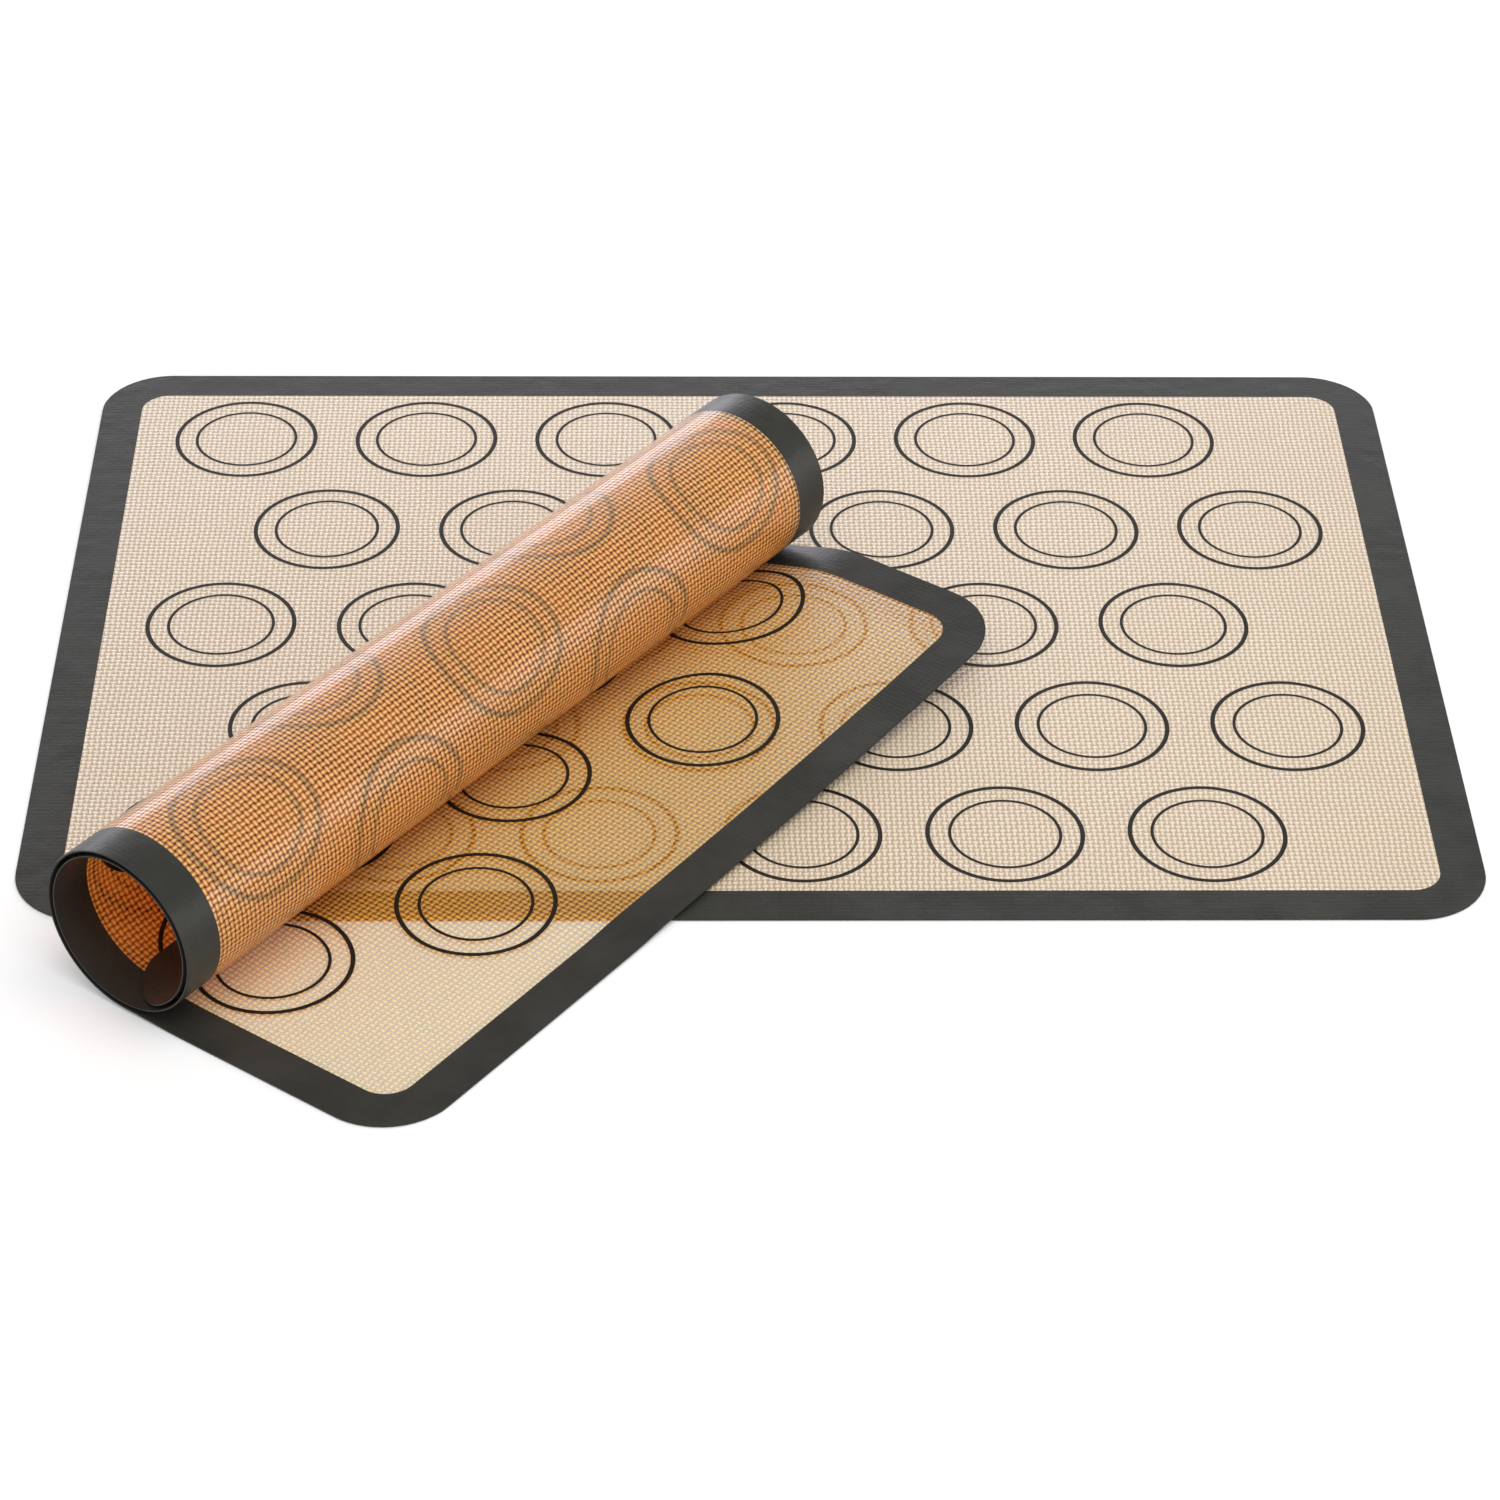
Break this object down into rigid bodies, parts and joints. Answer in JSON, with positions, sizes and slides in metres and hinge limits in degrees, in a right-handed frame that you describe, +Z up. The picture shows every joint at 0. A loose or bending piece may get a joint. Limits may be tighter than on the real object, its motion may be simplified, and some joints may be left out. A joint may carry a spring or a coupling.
{
  "type": "silicone baking mat",
  "caption": "Pair of silicone-coated glass-mesh baking mats with dark rims and ring guides, one lying flat, one part rolled across it.",
  "frame": {"origin": "middle of the lower mat's underside, on the counter it lies on", "axes": "+Z up, +X along the lower mat's long side, +Y towards its far side"},
  "size_m": [0.42, 0.3841, 0.0527],
  "materials": {
    "clear_silicone": "satin",
    "glass_mesh": "woven",
    "dark_silicone": "satin",
    "print_ink": "satin",
    "coated_mesh": "satin"
  },
  "bodies": {
    "lower_mat": {"lower_bottom_coat": "clear_silicone", "lower_glass_mesh": "glass_mesh", "lower_top_coat": "clear_silicone", "lower_rim": "dark_silicone", "lower_outer_circles": "print_ink", "lower_inner_circles": "print_ink"},
    "upper_mat": {"upper_bottom_coat": "clear_silicone", "upper_glass_mesh": "glass_mesh", "upper_top_coat": "clear_silicone", "upper_rim": "dark_silicone", "upper_outer_circles": "print_ink", "upper_inner_circles": "print_ink"},
    "roll_01": {"roll_sheet_01": "coated_mesh", "roll_dark_01": "dark_silicone"},
    "roll_02": {"roll_sheet_02": "coated_mesh", "roll_dark_02": "dark_silicone"},
    "roll_03": {"roll_sheet_03": "coated_mesh", "roll_dark_03": "dark_silicone"},
    "roll_04": {"roll_sheet_04": "coated_mesh", "roll_dark_04": "dark_silicone"},
    "roll_05": {"roll_sheet_05": "coated_mesh", "roll_dark_05": "dark_silicone"},
    "roll_06": {"roll_sheet_06": "coated_mesh", "roll_dark_06": "dark_silicone"},
    "roll_07": {"roll_sheet_07": "coated_mesh", "roll_dark_07": "dark_silicone"},
    "roll_08": {"roll_sheet_08": "coated_mesh", "roll_dark_08": "dark_silicone"},
    "roll_09": {"roll_sheet_09": "coated_mesh", "roll_dark_09": "dark_silicone"},
    "roll_10": {"roll_sheet_10": "coated_mesh", "roll_dark_10": "dark_silicone"},
    "roll_11": {"roll_sheet_11": "coated_mesh", "roll_dark_11": "dark_silicone"},
    "roll_12": {"roll_sheet_12": "coated_mesh", "roll_dark_12": "dark_silicone"},
    "roll_13": {"roll_sheet_13": "coated_mesh", "roll_dark_13": "dark_silicone"},
    "roll_14": {"roll_sheet_14": "coated_mesh", "roll_dark_14": "dark_silicone"},
    "roll_15": {"roll_sheet_15": "coated_mesh", "roll_dark_15": "dark_silicone"},
    "roll_16": {"roll_sheet_16": "coated_mesh", "roll_dark_16": "dark_silicone"},
    "roll_17": {"roll_sheet_17": "coated_mesh", "roll_dark_17": "dark_silicone"},
    "roll_18": {"roll_sheet_18": "coated_mesh", "roll_dark_18": "dark_silicone"},
    "roll_19": {"roll_sheet_19": "coated_mesh", "roll_dark_19": "dark_silicone"},
    "roll_20": {"roll_sheet_20": "coated_mesh", "roll_dark_20": "dark_silicone"},
    "roll_21": {"roll_sheet_21": "coated_mesh", "roll_dark_21": "dark_silicone"},
    "roll_22": {"roll_sheet_22": "coated_mesh", "roll_dark_22": "dark_silicone"},
    "roll_23": {"roll_sheet_23": "coated_mesh", "roll_dark_23": "dark_silicone"},
    "roll_24": {"roll_sheet_24": "coated_mesh", "roll_dark_24": "dark_silicone"}
  },
  "joints": [
    {"name": "upper_lift", "type": "slide", "parent": "lower_mat", "child": "upper_mat", "axis": [0, 0, 1], "range_m": [0, 0.1]},
    {"name": "unroll_01", "type": "hinge", "parent": "upper_mat", "child": "roll_01", "pos_m": [-0.08964, -0.06547, 0.0007], "axis": [-0.6018, -0.7986, 0], "range_deg": [0, 30]},
    {"name": "unroll_02", "type": "hinge", "parent": "roll_01", "child": "roll_02", "pos_m": [-0.09938, -0.05814, 0.00774], "axis": [-0.6018, -0.7986, 0], "range_deg": [0, 30]},
    {"name": "unroll_03", "type": "hinge", "parent": "roll_02", "child": "roll_03", "pos_m": [-0.10496, -0.05393, 0.01986], "axis": [-0.6018, -0.7986, 0], "range_deg": [0, 30]},
    {"name": "unroll_04", "type": "hinge", "parent": "roll_03", "child": "roll_04", "pos_m": [-0.10496, -0.05393, 0.03378], "axis": [-0.6018, -0.7986, 0], "range_deg": [0, 30]},
    {"name": "unroll_05", "type": "hinge", "parent": "roll_04", "child": "roll_05", "pos_m": [-0.09944, -0.05809, 0.04577], "axis": [-0.6018, -0.7986, 0], "range_deg": [0, 30]},
    {"name": "unroll_06", "type": "hinge", "parent": "roll_05", "child": "roll_06", "pos_m": [-0.08991, -0.06527, 0.05265], "axis": [-0.6018, -0.7986, 0], "range_deg": [0, 30]},
    {"name": "unroll_07", "type": "hinge", "parent": "roll_06", "child": "roll_07", "pos_m": [-0.07898, -0.07351, 0.05265], "axis": [-0.6018, -0.7986, 0], "range_deg": [0, 30]},
    {"name": "unroll_08", "type": "hinge", "parent": "roll_07", "child": "roll_08", "pos_m": [-0.06956, -0.08061, 0.04584], "axis": [-0.6018, -0.7986, 0], "range_deg": [0, 30]},
    {"name": "unroll_09", "type": "hinge", "parent": "roll_08", "child": "roll_09", "pos_m": [-0.06415, -0.08468, 0.03412], "axis": [-0.6018, -0.7986, 0], "range_deg": [0, 30]},
    {"name": "unroll_10", "type": "hinge", "parent": "roll_09", "child": "roll_10", "pos_m": [-0.06415, -0.08468, 0.02065], "axis": [-0.6018, -0.7986, 0], "range_deg": [0, 30]},
    {"name": "unroll_11", "type": "hinge", "parent": "roll_10", "child": "roll_11", "pos_m": [-0.0695, -0.08065, 0.00906], "axis": [-0.6018, -0.7986, 0], "range_deg": [0, 30]},
    {"name": "unroll_12", "type": "hinge", "parent": "roll_11", "child": "roll_12", "pos_m": [-0.07871, -0.07371, 0.0024], "axis": [-0.6018, -0.7986, 0], "range_deg": [0, 30]},
    {"name": "unroll_13", "type": "hinge", "parent": "roll_12", "child": "roll_13", "pos_m": [-0.08928, -0.06575, 0.0024], "axis": [-0.6018, -0.7986, 0], "range_deg": [0, 30]},
    {"name": "unroll_14", "type": "hinge", "parent": "roll_13", "child": "roll_14", "pos_m": [-0.09838, -0.05889, 0.00898], "axis": [-0.6018, -0.7986, 0], "range_deg": [0, 30]},
    {"name": "unroll_15", "type": "hinge", "parent": "roll_14", "child": "roll_15", "pos_m": [-0.10361, -0.05495, 0.02031], "axis": [-0.6018, -0.7986, 0], "range_deg": [0, 30]},
    {"name": "unroll_16", "type": "hinge", "parent": "roll_15", "child": "roll_16", "pos_m": [-0.10361, -0.05495, 0.03332], "axis": [-0.6018, -0.7986, 0], "range_deg": [0, 30]},
    {"name": "unroll_17", "type": "hinge", "parent": "roll_16", "child": "roll_17", "pos_m": [-0.09844, -0.05884, 0.04452], "axis": [-0.6018, -0.7986, 0], "range_deg": [0, 30]},
    {"name": "unroll_18", "type": "hinge", "parent": "roll_17", "child": "roll_18", "pos_m": [-0.08955, -0.06554, 0.05095], "axis": [-0.6018, -0.7986, 0], "range_deg": [0, 30]},
    {"name": "unroll_19", "type": "hinge", "parent": "roll_18", "child": "roll_19", "pos_m": [-0.07934, -0.07324, 0.05095], "axis": [-0.6018, -0.7986, 0], "range_deg": [0, 30]},
    {"name": "unroll_20", "type": "hinge", "parent": "roll_19", "child": "roll_20", "pos_m": [-0.07056, -0.07986, 0.0446], "axis": [-0.6018, -0.7986, 0], "range_deg": [0, 30]},
    {"name": "unroll_21", "type": "hinge", "parent": "roll_20", "child": "roll_21", "pos_m": [-0.06551, -0.08366, 0.03366], "axis": [-0.6018, -0.7986, 0], "range_deg": [0, 30]},
    {"name": "unroll_22", "type": "hinge", "parent": "roll_21", "child": "roll_22", "pos_m": [-0.06551, -0.08366, 0.02111], "axis": [-0.6018, -0.7986, 0], "range_deg": [0, 30]},
    {"name": "unroll_23", "type": "hinge", "parent": "roll_22", "child": "roll_23", "pos_m": [-0.07049, -0.0799, 0.0103], "axis": [-0.6018, -0.7986, 0], "range_deg": [0, 30]},
    {"name": "unroll_24", "type": "hinge", "parent": "roll_23", "child": "roll_24", "pos_m": [-0.07907, -0.07344, 0.0041], "axis": [-0.6018, -0.7986, 0], "range_deg": [0, 30]}
  ],
  "couplings": [
    {"joint": "unroll_04", "follows": "unroll_01", "ratio": 1},
    {"joint": "unroll_05", "follows": "unroll_02", "ratio": 1},
    {"joint": "unroll_06", "follows": "unroll_03", "ratio": 1},
    {"joint": "unroll_07", "follows": "unroll_01", "ratio": 1},
    {"joint": "unroll_08", "follows": "unroll_02", "ratio": 1},
    {"joint": "unroll_09", "follows": "unroll_03", "ratio": 1},
    {"joint": "unroll_10", "follows": "unroll_01", "ratio": 1},
    {"joint": "unroll_11", "follows": "unroll_02", "ratio": 1},
    {"joint": "unroll_12", "follows": "unroll_03", "ratio": 1},
    {"joint": "unroll_13", "follows": "unroll_01", "ratio": 1},
    {"joint": "unroll_14", "follows": "unroll_02", "ratio": 1},
    {"joint": "unroll_15", "follows": "unroll_03", "ratio": 1},
    {"joint": "unroll_16", "follows": "unroll_01", "ratio": 1},
    {"joint": "unroll_17", "follows": "unroll_02", "ratio": 1},
    {"joint": "unroll_18", "follows": "unroll_03", "ratio": 1},
    {"joint": "unroll_19", "follows": "unroll_01", "ratio": 1},
    {"joint": "unroll_20", "follows": "unroll_02", "ratio": 1},
    {"joint": "unroll_21", "follows": "unroll_03", "ratio": 1},
    {"joint": "unroll_22", "follows": "unroll_01", "ratio": 1},
    {"joint": "unroll_23", "follows": "unroll_02", "ratio": 1},
    {"joint": "unroll_24", "follows": "unroll_03", "ratio": 1}
  ]
}
